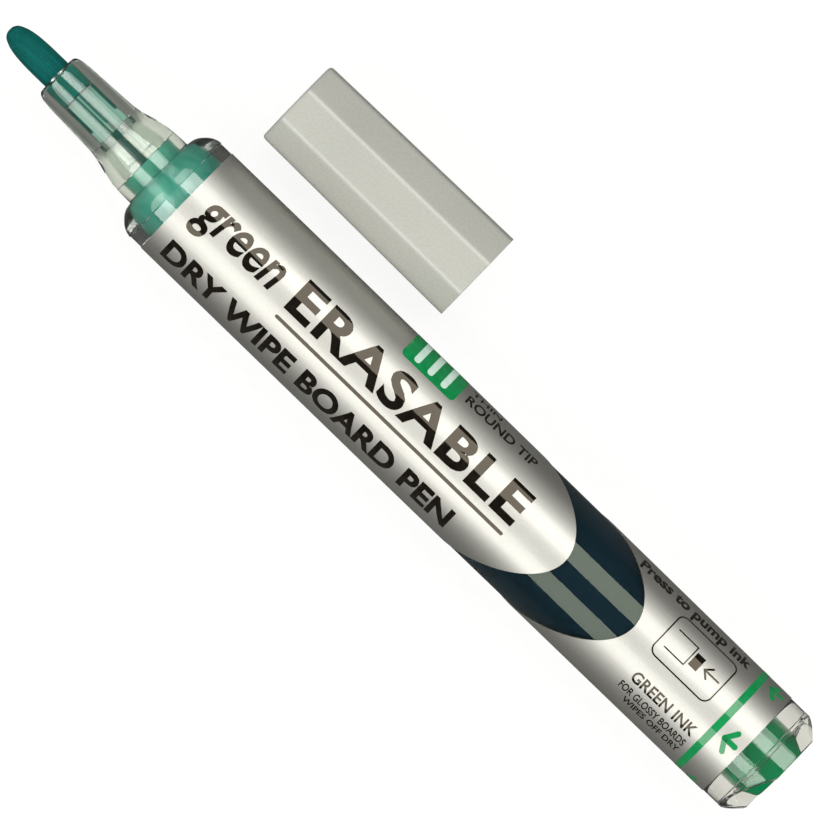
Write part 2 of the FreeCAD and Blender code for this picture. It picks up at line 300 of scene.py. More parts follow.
def fibre(name, dark, light, along=90.0, across=3200.0, rough=0.72):
    """Pressed fibre: fine strands along the axis with small pores, soaked in ink."""
    m, nt, p = new_material(name)
    v = coords(nt, (along / across, 1, 1))
    strands = noise(nt, v, across, 4.0, 0.65)
    pores = noise(nt, coords(nt), 5200.0, 2.0, 0.6)
    both = mul(nt, strands, pores, "ADD")
    nt.links.new(ramp(nt, span(nt, both, 0.0, 1.0, 0.6, 1.4), [(0.2, dark), (0.8, light)]), p.inputs["Base Color"])
    nt.links.new(span(nt, pores, rough - 0.14, rough + 0.12, 0.3, 0.7), p.inputs["Roughness"])
    p.inputs["IOR"].default_value = 1.42
    p.inputs["Specular IOR Level"].default_value = 0.12
    bump(nt, p, both, 0.4, 0.00002)
    return m


def printed(name, dark, light, coat_rough=0.03, base_rough=0.4, warm=False):
    """Ink under the label's clear gloss face, with slight mottle."""
    m, nt, p = new_material(name)
    v = coords(nt)
    mott = noise(nt, v, 900.0, 3.0, 0.6)
    nt.links.new(ramp(nt, mott, [(0.35, dark), (0.65, light)]), p.inputs["Base Color"])
    nt.links.new(span(nt, mott, base_rough, base_rough * 1.25, 0.3, 0.7), p.inputs["Roughness"])
    p.inputs["Specular IOR Level"].default_value = 0.1
    p.inputs["Coat Weight"].default_value = 0.85
    p.inputs["Coat Roughness"].default_value = coat_rough
    p.inputs["Coat IOR"].default_value = 1.52
    if warm:  # the gloss itself is warm on the black ink
        p.inputs["Coat Weight"].default_value = 0.0
        p.inputs["Specular IOR Level"].default_value = 0.46
        p.inputs["Specular Tint"].default_value = (1.0, 0.88, 0.70, 1.0)
    return m


def silver(name):
    """Satin metallised film: fine metal grain under a clear gloss face."""
    m, nt, p = new_material(name)
    v = coords(nt)
    grain = noise(nt, v, 5200.0, 3.0, 0.65)
    slow = noise(nt, coords(nt, (0.12, 1, 1)), 260.0, 2.0, 0.5, 0.4)
    nt.links.new(ramp(nt, grain, [(0.25, (0.415, 0.412, 0.382)), (0.75, (0.480, 0.477, 0.446))]), p.inputs["Base Color"])
    nt.links.new(span(nt, slow, 0.51, 0.56, 0.3, 0.7), p.inputs["Roughness"])
    p.inputs["Metallic"].default_value = 1.0
    p.inputs["Coat Weight"].default_value = 0.35
    p.inputs["Coat Roughness"].default_value = 0.05
    p.inputs["Coat IOR"].default_value = 1.52
    bump(nt, p, grain, 0.08, 0.000006)
    return m


def metal(name, a, b, rough=(0.22, 0.34), stretch=(1, 1, 1), scale=1800.0):
    m, nt, p = new_material(name)
    g = noise(nt, coords(nt, stretch), scale, 3.0, 0.6)
    nt.links.new(ramp(nt, g, [(0.3, a), (0.7, b)]), p.inputs["Base Color"])
    nt.links.new(span(nt, g, rough[0], rough[1], 0.3, 0.7), p.inputs["Roughness"])
    p.inputs["Metallic"].default_value = 1.0
    bump(nt, p, g, 0.2, 0.000006)
    return m


M_NIB = fibre("nib_fibre", (0.0, 0.046, 0.042), (0.0, 0.086, 0.077))
M_WET = moulded("nib_soaked", (0.0, 0.125, 0.105), (0.002, 0.165, 0.140), (0.02, 0.06), 900.0, 0.000002, 0.05)
M_CLEAR = clear("clear_plastic", (0.955, 0.972, 0.962), (0.985, 0.992, 0.985))
M_JOIN = clear("clear_wetted_join", (0.985, 0.99, 0.985), (0.995, 0.998, 0.995))
M_JOIN.node_tree.nodes["Principled BSDF"].inputs["Alpha"].default_value = 0.0
M_INKLINE = moulded("ink_film", (0.002, 0.105, 0.090), (0.006, 0.150, 0.130), (0.02, 0.06), 900.0, 0.000002, 0.05)
M_NOSE = clear("nose_plastic", (0.72, 0.80, 0.745), (0.79, 0.86, 0.81))
M_SHOULDER = clear("shoulder_plastic", (0.72, 0.80, 0.745), (0.79, 0.86, 0.81), rough=(0.09, 0.15))
M_COLLAR = clear("collar_plastic", (0.955, 0.972, 0.962), (0.985, 0.992, 0.985))
M_COLLAR.node_tree.nodes["Principled BSDF"].inputs["Coat Weight"].default_value = 1.0
M_COLLAR.node_tree.nodes["Principled BSDF"].inputs["Coat Roughness"].default_value = 0.05
M_WINDOW = clear("window_plastic", (0.955, 0.972, 0.962), (0.985, 0.992, 0.985))
M_WINDOW.node_tree.nodes["Principled BSDF"].inputs["Specular Tint"].default_value = (0.82, 0.93, 0.70, 1)
M_FEED = moulded("feeder_plastic", (0.22, 0.42, 0.37), (0.30, 0.50, 0.44), (0.12, 0.2), 1500.0)
M_PLUG = moulded("plug_plastic", (0.035, 0.28, 0.205), (0.125, 0.41, 0.325), (0.08, 0.18), 1200.0, 0.00001, 0.2, swirl=260.0)
M_WAD = fibre("wad_fibre", (0.01, 0.16, 0.12), (0.03, 0.25, 0.19), 3200.0, 3200.0)
M_RUBBER = moulded("valve_rubber", (0.018, 0.018, 0.018), (0.03, 0.03, 0.03), (0.5, 0.62))
M_WHITE = moulded("white_plastic", (0.70, 0.70, 0.66), (0.76, 0.76, 0.73), (0.35, 0.45))
M_INK = moulded("ink", (0.0035, 0.0150, 0.0245), (0.0050, 0.0190, 0.0300), (0.30, 0.40), 300.0, 0.000002, 0.03, ior=1.47, swirl=40.0)
M_INK.node_tree.nodes["Principled BSDF"].inputs["Specular IOR Level"].default_value = 0.02
M_SILVER = silver("silver_film")
M_BLACK = printed("print_black", (0.0035, 0.0025, 0.0018), (0.0075, 0.006, 0.0045), base_rough=0.04, warm=True)
M_GREEN = printed("print_green", (0.0, 0.160, 0.040), (0.0, 0.200, 0.056))
M_PALE = printed("print_pale", (0.42, 0.57, 0.49), (0.48, 0.62, 0.55))
M_STEEL = metal("spring_steel", (0.52, 0.53, 0.54), (0.66, 0.67, 0.68))
M_BUTTON = moulded("button_plastic", (0.0, 0.140, 0.044), (0.0, 0.170, 0.056), (0.12, 0.20), 1500.0, 0.000002, 0.06)
M_BUTTON.node_tree.nodes["Principled BSDF"].inputs["Specular IOR Level"].default_value = 0.2
M_CAP = moulded("cap_plastic", (0.305, 0.309, 0.280), (0.330, 0.334, 0.303), (0.24, 0.32), 3400.0, 0.000006, 0.15, swirl=50.0)
M_SEAL = moulded("seal_plastic", (0.66, 0.66, 0.62), (0.73, 0.73, 0.69), (0.35, 0.5))

BY_NODE = {
    "slit_valve": M_RUBBER, "valve_retainer": M_WHITE, "buffer_wad": M_WAD, "pump_housing": M_WHITE,
    "pump_o_ring": M_RUBBER, "check_valve": M_RUBBER, "pump_piston": M_WHITE, "piston_cup": M_RUBBER,
    "nib": M_NIB, "front_housing": M_CLEAR, "capillary_feeder": M_FEED, "metering_plug": M_PLUG,
    "barrel_tube": M_CLEAR, "ink_fill": M_INK, "label_film": M_SILVER, "pump_spring": M_STEEL,
    "pump_button": M_BUTTON, "tail_sleeve": M_CLEAR, "cap_shell": M_CAP, "cap_inner_seal": M_SEAL,
}
for name, material in BY_NODE.items():
    me = nodes[name].data
    me.materials.clear()
    me.materials.append(material)
    me.shade_smooth()
    me.set_sharp_from_angle(angle=math.radians(35))



def wetted(ob, r, u0, u1, tol=0.03, end=None):
    """Marks the faces of ob at radius r, and at its end face, that are pressed on another clear piece: no gloss there."""
    me = ob.data
    me.materials.append(M_JOIN)
    k = len(me.materials) - 1
    for q in me.polygons:
        radius = math.hypot(q.center.y, q.center.z) / MM
        if abs(radius - r) < tol and X(u0) < q.center.x < X(u1):
            q.material_index = k
        elif end and abs(q.center.x - X(end)) < 0.012 * MM and 7.3 < radius < 8.26:
            q.material_index = k


# ------------------------------------------------------------------ nib
nib_front = curve_through(
    [
        (0.0, 0.0), (0.008, 0.30), (0.07, 0.55), (0.2, 0.80), (0.4, 1.06), (0.7, 1.27), (1.1, 1.46),
        (1.6, 1.65), (2.2, 1.80), (3.0, 1.93), (4.0, 2.02), (5.2, 2.07), (6.2, 2.08),
    ], 4,
)
nib = lathe("nib_bullet", nib_front + [(8.7, 2.08), (12.0, 2.08), (12.08, 2.0), (12.08, 0.0)], M_NIB, "marker", 128)
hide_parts("nib")
wet = lathe("nib_ink_film", eased([(8.86, 2.12), (8.86, 2.44), (12.0, 2.44), (12.0, 2.12)], 0.08), M_WET, "marker", 128)

# ------------------------------------------------------------------ clear front housing
lip = curve_through([(8.3, 2.62), (8.36, 2.92), (8.55, 3.17), (8.85, 3.34), (9.2, 3.45), (9.7, 3.53)], 4)
waist = curve_through(
    [
        (9.7, 3.53), (11.0, 3.65), (13.0, 3.75), (15.0, 3.82), (17.0, 3.89), (18.0, 3.95), (19.0, 4.10),
        (20.0, 4.33), (21.0, 4.62), (22.0, 4.87), (23.0, 5.03), (24.2, 5.11), (25.5, 5.17), (26.22, 5.19),
        (26.30, 5.25), (26.32, 5.50),
    ], 4,
)
round_shoulder = curve_through(
    [
        (26.32, 5.50), (26.45, 6.12), (26.7, 6.66), (27.1, 7.16), (27.6, 7.64), (28.1, 7.98), (28.6, 8.18),
        (29.0, 8.28), (29.24, 8.29), (29.29, 8.24),
    ], 4,
)
inside = eased(
    [
        (29.3, 7.34), (36.0, 7.34), (36.0, 6.35), (31.7, 6.35), (31.6, 4.20), (24.02, 4.20), (24.02, 3.45),
        (21.6, 3.45), (19.84, 2.95), (18.6, 2.92), (18.6, 2.50), (8.8, 2.50), (8.8, 2.11), (8.3, 2.11),
    ], 0.07,
)[1:-1]
housing = lathe("clear_front_housing", lip[:-1] + waist[:-1] + round_shoulder + [(29.3, 7.5), (29.3, 7.34)] + inside, M_NOSE, "marker", 192)
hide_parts("front_housing")
wetted(housing, 7.34, 29.31, 36.0, end=29.3)
housing.data.materials.append(M_SHOULDER)
for q in housing.data.polygons:
    if X(26.33) < q.center.x < X(29.27) and math.hypot(q.center.y, q.center.z) > 5.4 * MM:
        q.material_index = len(housing.data.materials) - 1

# ------------------------------------------------------------------ feeder inside the nose
FIN_TURN = math.radians(3.5)


def turned(y, z, a):
    # a turns from +Z towards -Y, so that +a moves what faces the top to +v
    return (y * math.cos(a) - z * math.sin(a), y * math.sin(a) + z * math.cos(a))


parts = []
for k in range(4):
    a = FIN_TURN + k * math.pi / 2
    loop = [turned(y, z, a) for y, z in [(-0.17, 0.5), (0.17, 0.5), (0.17, 2.30), (0.10, 2.40), (-0.10, 2.40), (-0.17, 2.30)]]
    parts.append(extrude_outline(loop, 12.14, 18.6))
v, f = merged(parts)
fins = make_object("feeder_fins", v, f, M_FEED, "marker")
stem = lathe(
    "feeder_core",
    eased(
        [
            (12.2, 0.0), (12.14, 0.62), (18.64, 0.62), (18.66, 2.86), (19.78, 2.86), (19.80, 1.95), (23.1, 1.95),
            (23.12, 2.3), (23.98, 2.3), (23.98, 0.0),
        ], 0.06,
    ), M_CLEAR, "marker", 128,
)
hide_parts("capillary_feeder")
# Ink held by capillary pull: lines along the fins' tips, drops in the flange's notches, and a thread in the stem.
parts = []
for k in range(4):
    a = FIN_TURN + k * math.pi / 2
    for side in (-1, 1):
        loop = [turned(side * y, z, a) for y, z in [(0.16, 1.95), (0.24, 2.12), (0.44, 2.38), (0.30, 2.43), (0.13, 2.43)]]
        parts.append(extrude_outline(loop if side > 0 else loop[::-1], 12.16, 17.1 - 0.5 * (k % 2)))
for k in range(4):
    a = FIN_TURN * 0.3 + k * math.pi / 2
    loop = [turned(y, z, a) for y, z in [(-0.40, 1.72), (0.40, 1.72), (0.40, 1.98), (-0.40, 1.98)]]
    parts.append(extrude_outline(loop, 18.72, 19.72))
v, f = merged(parts)
ink_lines = make_object("ink_in_feeder", v, f, M_INKLINE, "marker")
thread = lathe("ink_thread", eased([(19.6, 0.0), (19.6, 0.34), (23.9, 0.40), (23.9, 0.0)], 0.08), M_INKLINE, "marker", 48, y=-0.15)

# ------------------------------------------------------------------ metering plug, stained green
plug = lathe(
    "metering_plug_stained",
    eased(
        [
            (24.06, 2.62), (24.06, 4.12), (26.5, 4.12), (26.75, 4.36), (31.5, 4.36), (31.62, 4.14), (31.72, 6.2),
            (31.8, 6.27), (36.04, 6.27), (36.04, 7.24),
            (37.25, 7.24), (37.25, 3.55), (31.0, 3.55), (31.0, 0.9), (29.2, 0.9), (29.2, 2.62),
        ], 0.1,
    ), M_PLUG, "marker", 160,
)
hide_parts("metering_plug")

# ------------------------------------------------------------------ barrel tube and ink


def tube_r(u):
    return 8.20 if u <= 72.0 else 8.20 - 0.18 * (u - 72.0) / 60.4


barrel = lathe(
    "clear_barrel",
    eased([(29.34, 7.30), (29.34, 8.20), (31.2, 8.20), (72.0, 8.20), (113.0, 8.078), (132.38, 8.02), (132.38, 7.30), (124.05, 7.30), (36.0, 7.30)], 0.07),
    M_CLEAR, "marker", 192,
)
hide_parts("barrel_tube")
wetted(barrel, 7.30, 29.36, 36.0, end=29.34)
wetted(barrel, 7.30, 124.0, 132.37)
barrel.data.materials.append(M_COLLAR)
for q in barrel.data.polygons:
    if q.center.x < X(31.2) and math.hypot(q.center.y, q.center.z) > 8.1 * MM:
        q.material_index = len(barrel.data.materials) - 1
barrel.data.materials.append(M_WINDOW)
for q in barrel.data.polygons:
    if X(72.0) < q.center.x < X(113.0) and math.hypot(q.center.y, q.center.z) > 7.8 * MM:
        q.material_index = len(barrel.data.materials) - 1
ink = lathe("ink_column", eased([(37.35, 0.0), (37.35, 7.42), (109.4, 7.42), (109.4, 0.0)], 0.25), M_INK, "marker", 160)
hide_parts("ink_fill")

# ------------------------------------------------------------------ label film
LABEL_U0, LABEL_U1 = 31.15, 129.95
FILM, PRINT = 0.108, 0.124


def film_r(u):
    return tube_r(u) + FILM


def window_front(a):
    """Front edge of the ink window at angle a, from the top towards -Y."""
    c = math.cos(a)
    bow = 3.0 * c * c - 2.95 * c if c > 0 else -2.95 * c * math.exp(6.0 * c)
    return 85.0 + 12.15 * c - 1.1 * math.sin(a) + bow


def window_rear(a):
    return window_front(a) + 12.0 + 0.15 * abs(math.sin(a))


SEGS = 288
half = math.radians(25)
verts, faces = [], []


def strip_of(column, count):
    ids = []
    for k in range(count):
        a = 2 * math.pi * k / SEGS
        row = []
        for u in column(a):
            r = film_r(u)
            row.append(len(verts))
            verts.append((X(u), -r * math.sin(a) * MM, r * math.cos(a) * MM))
        ids.append(row)
    return ids


front = strip_of(lambda a: np.linspace(LABEL_U0, window_front(a), 25), SEGS)
rear = strip_of(lambda a: np.linspace(window_rear(a), LABEL_U1, 17), SEGS)
for k in range(SEGS):
    j = (k + 1) % SEGS
    for rows in (front, rear):
        for i in range(len(rows[k]) - 1):
            faces.append((rows[k][i], rows[k][i + 1], rows[j][i + 1], rows[j][i]))
    a0, a1 = 2 * math.pi * k / SEGS, 2 * math.pi * (k + 1) / SEGS
    if a0 >= math.pi - half - 1e-6 and a1 <= math.pi + half + 1e-6:
        faces.append((front[k][-1], rear[k][0], rear[j][0], front[j][-1]))


def film_in(v):
    y, z = v[1], v[2]
    r = math.hypot(y, z)
    q = (r - (FILM - 0.012) * MM) / r
    return (v[0], y * q, z * q)


v, f = shell(verts, faces, film_in)
label = make_object("label_silver", v, f, M_SILVER, "marker", 40)
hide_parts("label_film")


# ------------------------------------------------------------------ print on the label
# Artwork is drawn flat, in mm: u along the marker and s round it, measured on the film from the
# top line towards -Y. It is cut into narrow slices, bent round the film and given a thin edge.
def arc(v, u=60.0):
    """s on the film for the height v at which it is seen from straight above."""
    r = film_r(u) + 0.01
    return r * math.asin(max(-0.9999, min(0.9999, v / r)))


def bend_flat(name, bm, material, step=0.42, lift=PRINT, thick=0.010):
    ss = [q.co.y for q in bm.verts]
    lo, hi = min(ss), max(ss)
    k = math.ceil(lo / step)
    while k * step < hi:
        bmesh.ops.bisect_plane(
            bm, geom=bm.verts[:] + bm.edges[:] + bm.faces[:], dist=1e-6,
            plane_co=(0, k * step, 0), plane_no=(0, 1, 0),
        )
        k += 1
    bmesh.ops.remove_doubles(bm, verts=bm.verts, dist=1e-5)
    bmesh.ops.dissolve_degenerate(bm, dist=1e-6, edges=bm.edges)
    bmesh.ops.triangulate(bm, faces=bm.faces)
    bm.verts.ensure_lookup_table()
    flat = [(q.co.x, q.co.y) for q in bm.verts]
    for i, q in enumerate(bm.verts):
        q.index = i
    tris = []
    for face in bm.faces:
        t = [q.index for q in face.verts]
        (x0, y0), (x1, y1), (x2, y2) = (flat[i] for i in t)
        area = (x1 - x0) * (y2 - y0) - (x2 - x0) * (y1 - y0)
        if abs(area) < 1e-8:
            continue
        tris.append(tuple(t) if area > 0 else tuple(t[::-1]))
    bm.free()

    def at(u, s, h):
        r = tube_r(u) + h
        a = s / (tube_r(u) + lift)
        return (X(u), -r * math.sin(a) * MM, r * math.cos(a) * MM)

    n = len(flat)
    seen = set()
    for t in tris:
        for a, b in zip(t, t[1:] + t[:1]):
            seen.add((a, b))
    faces = list(tris) + [tuple(i + n for i in t[::-1]) for t in tris]
    faces += [(b, a, a + n, b + n) for a, b in seen if (b, a) not in seen]
    verts = [at(u, s, lift) for u, s in flat] + [at(u, s, lift - thick) for u, s in flat]
    ob = make_object(name, verts, faces, material, "marker", 50)
    return ob


def flat_text(text, u0, u1, v0, v1, fatten=0.0, shear=0.0, spacing=1.0, at_u=60.0, s0=None, s1=None):
    """Text filled as a flat mesh that spans u0..u1, its capital letters between heights v0 (top) and v1."""
    cu = bpy.data.curves.new("t", "FONT")
    cu.body = text
    cu.size = 1.0
    cu.offset = fatten
    cu.shear = shear
    cu.space_character = spacing
    cu.resolution_u = 5
    cu.fill_mode = "BOTH"
    ob = bpy.data.objects.new("t", cu)
    bpy.context.scene.collection.objects.link(ob)
    bpy.context.view_layer.update()
    me = bpy.data.meshes.new_from_object(ob.evaluated_get(bpy.context.evaluated_depsgraph_get()))
    bpy.data.objects.remove(ob)
    bpy.data.curves.remove(cu)
    co = np.array([q.co for q in me.vertices], float)
    x0, x1 = co[:, 0].min(), co[:, 0].max()
    y1 = co[:, 1].max()
    y0 = 0.0 - fatten
    top = arc(v0, at_u) if s0 is None else s0
    low = arc(v1, at_u) if s1 is None else s1
    for q in me.vertices:
        x = u0 + (q.co.x - x0) / (x1 - x0) * (u1 - u0)
        y = low + (q.co.y - y0) / (y1 - y0) * (top - low)
        q.co = (x, y, 0)
    bm = bmesh.new()
    bm.from_mesh(me)
    bpy.data.meshes.remove(me)
    return bm


def flat_polys(polys):
    bm = bmesh.new()
    for poly in polys:
        bm.faces.new([bm.verts.new((u, s, 0)) for u, s in poly])
    return bm


def stroke(points, width, closed=False):
    """A line of even width as quads with round ends."""
    p = [np.array(q, float) for q in points]
    polys = []
    n = len(p)
    pairs = range(n if closed else n - 1)
    normals = []
    for i in range(n):
        a = p[i - 1] if (i > 0 or closed) else p[i]
        b = p[(i + 1) % n] if (i < n - 1 or closed) else p[i]
        d = b - a
        d = d / max(np.linalg.norm(d), 1e-9)
        normals.append(np.array([-d[1], d[0]]))
    w = width if hasattr(width, "__len__") else [width] * n
    for i in pairs:
        j = (i + 1) % n
        polys.append([tuple(p[i] + normals[i] * w[i] / 2), tuple(p[i] - normals[i] * w[i] / 2),
                      tuple(p[j] - normals[j] * w[j] / 2), tuple(p[j] + normals[j] * w[j] / 2)])
    if not closed:
        for end, nb in ((0, 1), (n - 1, n - 2)):
            if w[end] < 0.12:
                continue
            d = p[end] - p[nb]
            base = math.atan2(d[1], d[0])
            ring = [tuple(p[end] + w[end] / 2 * np.array([math.cos(base + t), math.sin(base + t)]))
                    for t in np.linspace(-math.pi / 2, math.pi / 2, 9)]
            polys.append(ring)
    return polys


def rounded_box(u0, u1, s0, s1, r, n=6):
    pts = []
    for cu, cs, a0 in ((u1 - r, s1 - r, 0), (u0 + r, s1 - r, 90), (u0 + r, s0 + r, 180), (u1 - r, s0 + r, 270)):
        for k in range(n + 1):
            a = math.radians(a0 + 90 * k / n)
            pts.append((cu + r * math.cos(a), cs + r * math.sin(a)))
    return pts


bend_flat("print_small_word", flat_text("green", 33.2, 46.8, -2.6, 1.0, fatten=0.020, shear=0.2), M_BLACK)
bend_flat("print_main_word", flat_text("ERASABLE", 49.4, 89.2, -3.85, 1.15, fatten=0.028, spacing=1.08), M_BLACK)
bend_flat("print_underline", flat_polys(stroke([(u, arc(2.55)) for u in np.linspace(49.6, 89.0, 40)], 0.5)), M_BLACK)
bend_flat("print_use_line", flat_text("DRY WIPE BOARD PEN", 33.4, 83.2, 4.62, 7.18, fatten=0.036, spacing=1.02), M_BLACK)
bend_flat("print_nib_size", flat_text("ROUND TIP", 74.1, 86.2, -8.0, -6.25, fatten=0.02, s0=arc(-7.3), s1=arc(-6.25)), M_BLACK)
bend_flat("print_nib_grade", flat_text("THIN", 74.1, 79.2, -8.2, -7.5, fatten=0.02, s0=arc(-7.3) - 2.0, s1=arc(-7.3) - 0.75), M_BLACK)
bend_flat("print_pump_note", flat_text("Press to pump ink", 104.4, 123.4, -7.9, -6.7, fatten=0.034, at_u=114, s0=arc(-7.75, 114), s1=arc(-6.75, 114)), M_BLACK)
bend_flat("print_colour_name", flat_text("GREEN INK", 113.4, 124.1, 2.85, 4.4, fatten=0.022, at_u=119), M_BLACK)
bend_flat("print_surface_line", flat_text("FOR GLOSSY BOARDS", 112.9, 124.1, 5.05, 6.0, fatten=0.018, at_u=119), M_BLACK)
bend_flat("print_wipe_line", flat_text("WIPES OFF DRY", 114.5, 124.1, 6.3, 7.0, fatten=0.02, at_u=119), M_BLACK)

# Badge: a green rounded panel with three plain pale bars, near the top line's far side.
s_low = arc(-5.05)
badge_top = s_low - 9.2
panel = rounded_box(64.0, 73.0, badge_top, s_low, 0.7)
bend_flat("print_badge_panel", flat_polys([panel]), M_GREEN, lift=PRINT - 0.006, thick=0.006)
bars = []
for c0 in (66.2, 68.5, 70.8):
    bars += stroke([(c0, badge_top + 1.3), (c0, s_low - 1.1)], 0.95)
bend_flat("print_badge_bars", flat_polys(bars), M_PALE)

# Pictogram: an arrow that pushes a button into a tube's end, in a rounded frame.
pic = stroke(rounded_box(112.6, 122.5, arc(-6.15, 118), arc(0.1, 118), 1.1, 8), 0.20, closed=True)


def pv(points, w=0.19, smooth=False):
    pts = [(u - 0.2, arc(v, 118)) for u, v in points]
    return stroke(curve_through(pts, 5) if smooth else pts, w)


for wall in ([(113.9, -4.45), (117.2, -4.45)], [(113.9, -1.6), (117.2, -1.6)], [(117.2, -4.45), (117.2, -1.6)]):
    pic += pv(wall)
for side in (-0.8, 0.8):
    pic += pv([(119.6, -3.03), (120.5, -3.03 + side)], 0.28)
pic += pv([(119.7, -3.03), (122.0, -3.03)], 0.28)
dark = [(117.35, arc(-4.0, 118)), (118.75, arc(-4.0, 118)), (118.75, arc(-2.05, 118)), (117.35, arc(-2.05, 118))]
bend_flat("print_pictogram", flat_polys(pic + [dark]), M_BLACK)

# Ring line and the arrows that point towards the nib.
R_RING = film_r(126.0) + 0.01
full = 2 * math.pi * R_RING
halo, ring = [], []
n = 96
for k in range(n):
    s0, s1 = full * k / n - full / 2, full * (k + 1) / n - full / 2
    ring.append([(125.0, s0), (126.05, s0), (126.05, s1), (125.0, s1)])
bend_flat("print_ring_line", flat_polys(ring), M_GREEN)
for k in range(5):
    c = arc(1.4, 128) + full / 5 * (k - 2)
    arrow = stroke([(127.25, c), (128.95, c)], 0.78)
    arrow += stroke([(127.2, c), (128.15, c - 1.55)], 0.74) + stroke([(127.2, c), (128.15, c + 1.55)], 0.74)
    bend_flat("print_arrow_%d" % (k + 1), flat_polys(arrow), M_GREEN)

# ------------------------------------------------------------------ tail: sleeve, button, pump spring
skirt = eased(
    [
        (132.44, 7.34), (132.44, 8.02), (132.49, 8.05), (135.46, 8.05), (135.58, 7.93), (135.6, 7.85), (135.6, 7.27),
        (135.5, 7.16), (133.05, 7.15), (133.05, 5.25), (132.95, 5.15), (126.4, 5.15), (126.4, 5.72), (124.05, 5.72),
        (124.05, 7.34),
    ], 0.06,
)
sleeve = lathe("clear_tail_sleeve", skirt, M_CLEAR, "marker", 224)
# Two opposite finger openings, as planes that lean from the skirt's root to its end.
bm = bmesh.new()
bm.from_mesh(sleeve.data)
for turn in (67.3, 247.3):
    a = math.radians(turn)
    out = Vector((0, -math.sin(a), math.cos(a)))
    nrm = (Vector((1, 0, 0)) + out * 0.67).normalized()
    at = Vector((X(132.5), 0, 0)) + out * 8.05 * MM
    res = bmesh.ops.bisect_plane(bm, geom=bm.verts[:] + bm.edges[:] + bm.faces[:], dist=1e-7, plane_co=at, plane_no=nrm, clear_outer=True)
    cut = [e for e in res["geom_cut"] if isinstance(e, bmesh.types.BMEdge)]
    rim = bmesh.ops.triangle_fill(bm, edges=cut, use_beauty=True)
bmesh.ops.recalc_face_normals(bm, faces=bm.faces)
print("sleeve open edges", sum(1 for e in bm.edges if len(e.link_faces) != 2))
bm.to_mesh(sleeve.data)
bm.free()
sleeve.data.shade_smooth()
sleeve.data.set_sharp_from_angle(angle=math.radians(30))
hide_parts("tail_sleeve")
wetted(sleeve, 7.34, 124.1, 132.42)

crown = curve_through([(133.15, 5.02), (134.0, 4.60), (135.30, 3.87), (135.50, 3.62), (135.58, 3.3), (135.64, 2.4), (135.68, 1.3), (135.69, 0.0)], 5)
button = lathe(
    "green_button",
    crown + [(130.1, 0.0), (130.1, 2.53), (124.9, 2.53)] + [(124.9, 5.45), (125.0, 5.56), (126.25, 5.56), (126.35, 5.46), (126.35, 5.05), (132.95, 5.05)],
    M_BUTTON, "plunger", 176,
)
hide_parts("pump_button")

# Spring: four turns with a closed turn at each end.
coil, wire = 4.0, 0.32
pts, tangents = [], []
steps, turns = 300, 6.0
for i in range(steps + 1):
    t = i / steps
    k = t * turns
    if k < 1.0:
        rise = 0.02 * k
    elif k > turns - 1.0:
        rise = 1.0 - 0.02 * (turns - k)
    else:
        w = (k - 1.0) / (turns - 2.0)
        rise = 0.02 + 0.96 * w
    u = 114.62 + wire + 0.02 + (119.58 - 114.62 - 2 * wire - 0.04) * rise
    a = 2 * math.pi * k
    pts.append(np.array([u, -coil * math.sin(a), coil * math.cos(a)]))
verts, faces = [], []
ringn = 14
for i, p in enumerate(pts):
    d = pts[min(i + 1, steps)] - pts[max(i - 1, 0)]
    d /= np.linalg.norm(d)
    radial = np.array([0, p[1], p[2]]) / coil
    radial -= d * float(radial @ d)
    radial /= np.linalg.norm(radial)
    side = np.cross(d, radial)
    w = wire * 0.98
    for k in range(ringn):
        b = 2 * math.pi * k / ringn
        q = p + radial * w * math.cos(b) + side * w * math.sin(b)
        verts.append((X(q[0]), q[1] * MM, q[2] * MM))
for i in range(steps):
    for k in range(ringn):
        j = (k + 1) % ringn
        faces.append((i * ringn + k, i * ringn + j, (i + 1) * ringn + j, (i + 1) * ringn + k))
faces.append(tuple(range(ringn))[::-1])
faces.append(tuple(range(steps * ringn, (steps + 1) * ringn)))
spring = make_object("return_spring", verts, faces, M_STEEL, "marker", 40)
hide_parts("pump_spring")
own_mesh(spring)

# ------------------------------------------------------------------ cap
CAP_Y = 18.75
CAP_Z = -8.33 + 6.616
CU0, CU1 = 32.4, 64.3
TURN = 4.15


def octagon(r, edge, n=6):
    pts = []
    c = math.cos(math.radians(22.5))
    for k in range(8):
        a = math.radians(22.5 + 45 * k + TURN)
        centre = r - edge / c
        for j in range(n + 1):
            b = a + math.radians(-22.5 + 45.0 * j / n)
            pts.append((-centre * math.sin(a) - edge * math.sin(b), centre * math.cos(a) + edge * math.cos(b)))
    return pts


def cap_r(u):
    return 6.62 + 0.36 * (u - CU0) / (CU1 - CU0)


rings = []
for t in range(7):
    a = math.pi / 2 * t / 6
    u = CU0 + 0.55 * (1 - math.sin(a))
    rings.append((u, cap_r(CU0 + 0.55) - 0.50 * (1 - math.cos(a)), 1.25 + 0.05 * math.cos(a)))
rings = rings[::-1]
for u in np.linspace(CU0 + 0.9, CU1 - 0.12, 12):
    rings.append((u, cap_r(u), 1.30))
rings += [(CU1 - 0.05, cap_r(CU1) - 0.004, 1.30), (CU1, cap_r(CU1) - 0.05, 1.27)]
verts, faces, rows = [], [], []
for u, r, e in rings:
    row = []
    for y, z in octagon(r, e):
        row.append(len(verts))
        verts.append((X(u), (CAP_Y + y) * MM, (CAP_Z + z) * MM))
    rows.append(row)
n = len(rows[0])
bore = [(CU1, 5.86), (CU1 - 0.03, 5.80), (CU1 - 0.5, 5.26), (CU1 - 14.0, 5.26), (CU0 + 1.6, 5.26), (CU0 + 1.3, 5.05), (CU0 + 1.2, 4.7)]
